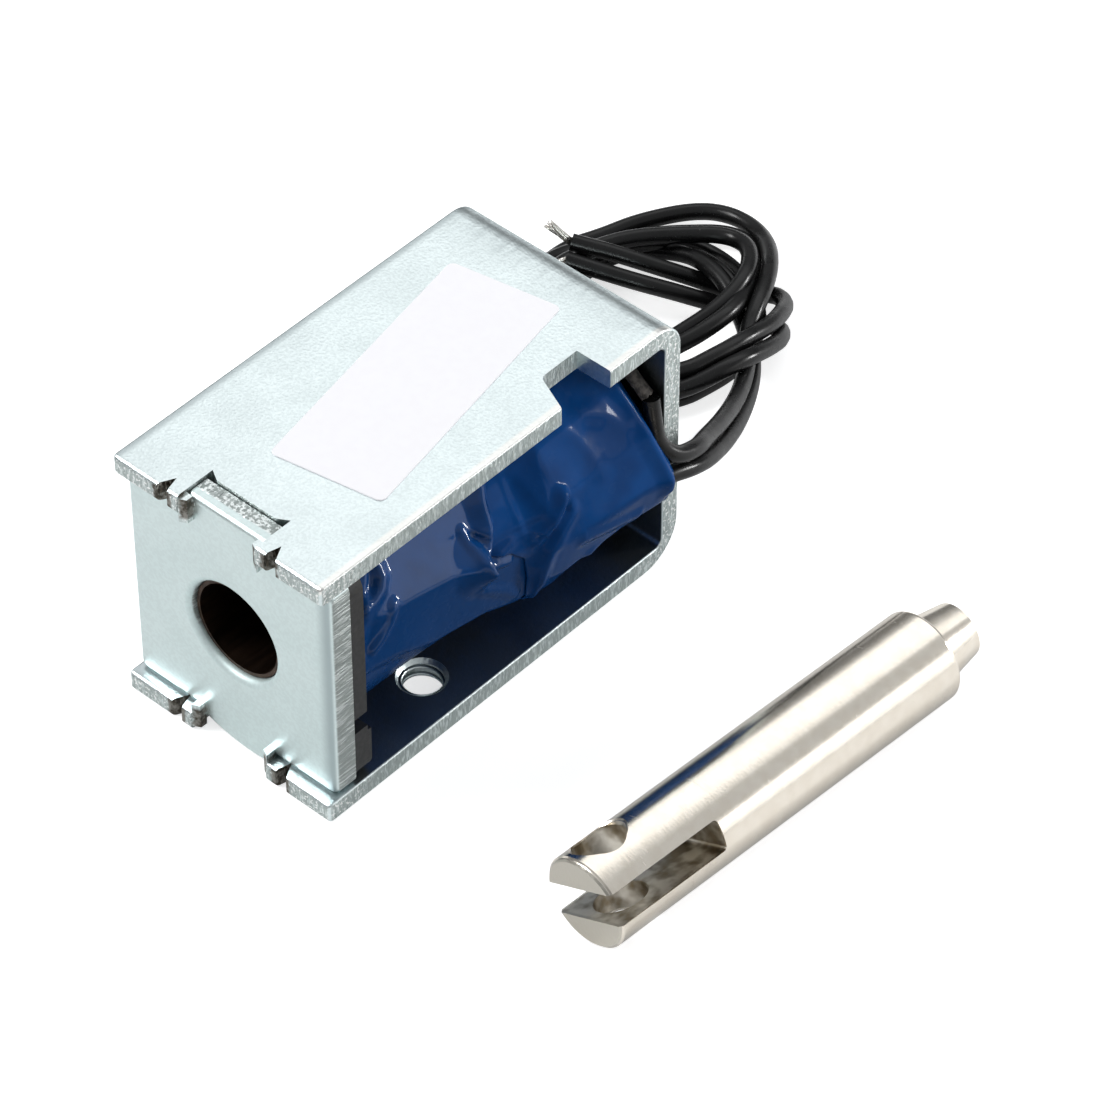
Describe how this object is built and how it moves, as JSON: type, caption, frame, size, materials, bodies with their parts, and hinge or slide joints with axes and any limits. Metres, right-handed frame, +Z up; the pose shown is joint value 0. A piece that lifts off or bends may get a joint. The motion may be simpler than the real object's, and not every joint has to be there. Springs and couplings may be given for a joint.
{
  "type": "push pull solenoid",
  "caption": "Open-frame push pull solenoid with a wound coil in a bent steel frame, black leads, and a round clevis plunger drawn out and laid beside it.",
  "frame": {"origin": "middle of the frame's underside", "axes": "+Y along the bore from the mouth to the closed back, +X towards the open side where the plunger lies, +Z up"},
  "size_m": [0.0539, 0.0678, 0.0233],
  "materials": {
    "zinc_steel": "satin",
    "black_nylon": "matte",
    "brass": "satin",
    "soft_iron": "satin",
    "copper_wire": "satin",
    "blue_film": "glossy",
    "white_paper": "matte",
    "grey_fibre": "matte",
    "black_pvc": "satin",
    "tinned_copper": "satin",
    "nickel_plate": "polished"
  },
  "bodies": {
    "solenoid_body": {"u_frame": "zinc_steel", "front_plate": "zinc_steel", "bobbin": "black_nylon", "guide_tube": "brass", "stop_core": "soft_iron", "coil_winding": "copper_wire", "front_tape_band": "blue_film", "rear_tape_band": "blue_film", "label": "white_paper", "fibre_sleeve": "grey_fibre", "solder_joint": "tinned_copper", "lead_a": "black_pvc", "lead_b": "black_pvc", "lead_hank": "black_pvc", "lead_tail_a": "black_pvc", "lead_tail_b": "black_pvc", "bare_end_a": "tinned_copper", "bare_end_b": "tinned_copper"},
    "plunger": {"plunger": "nickel_plate"}
  },
  "joints": [
    {"name": "plunger_slide", "type": "slide", "parent": "solenoid_body", "child": "plunger", "axis": [-0.0628, -0.998, 0], "range_m": [0, 0.01]}
  ]
}
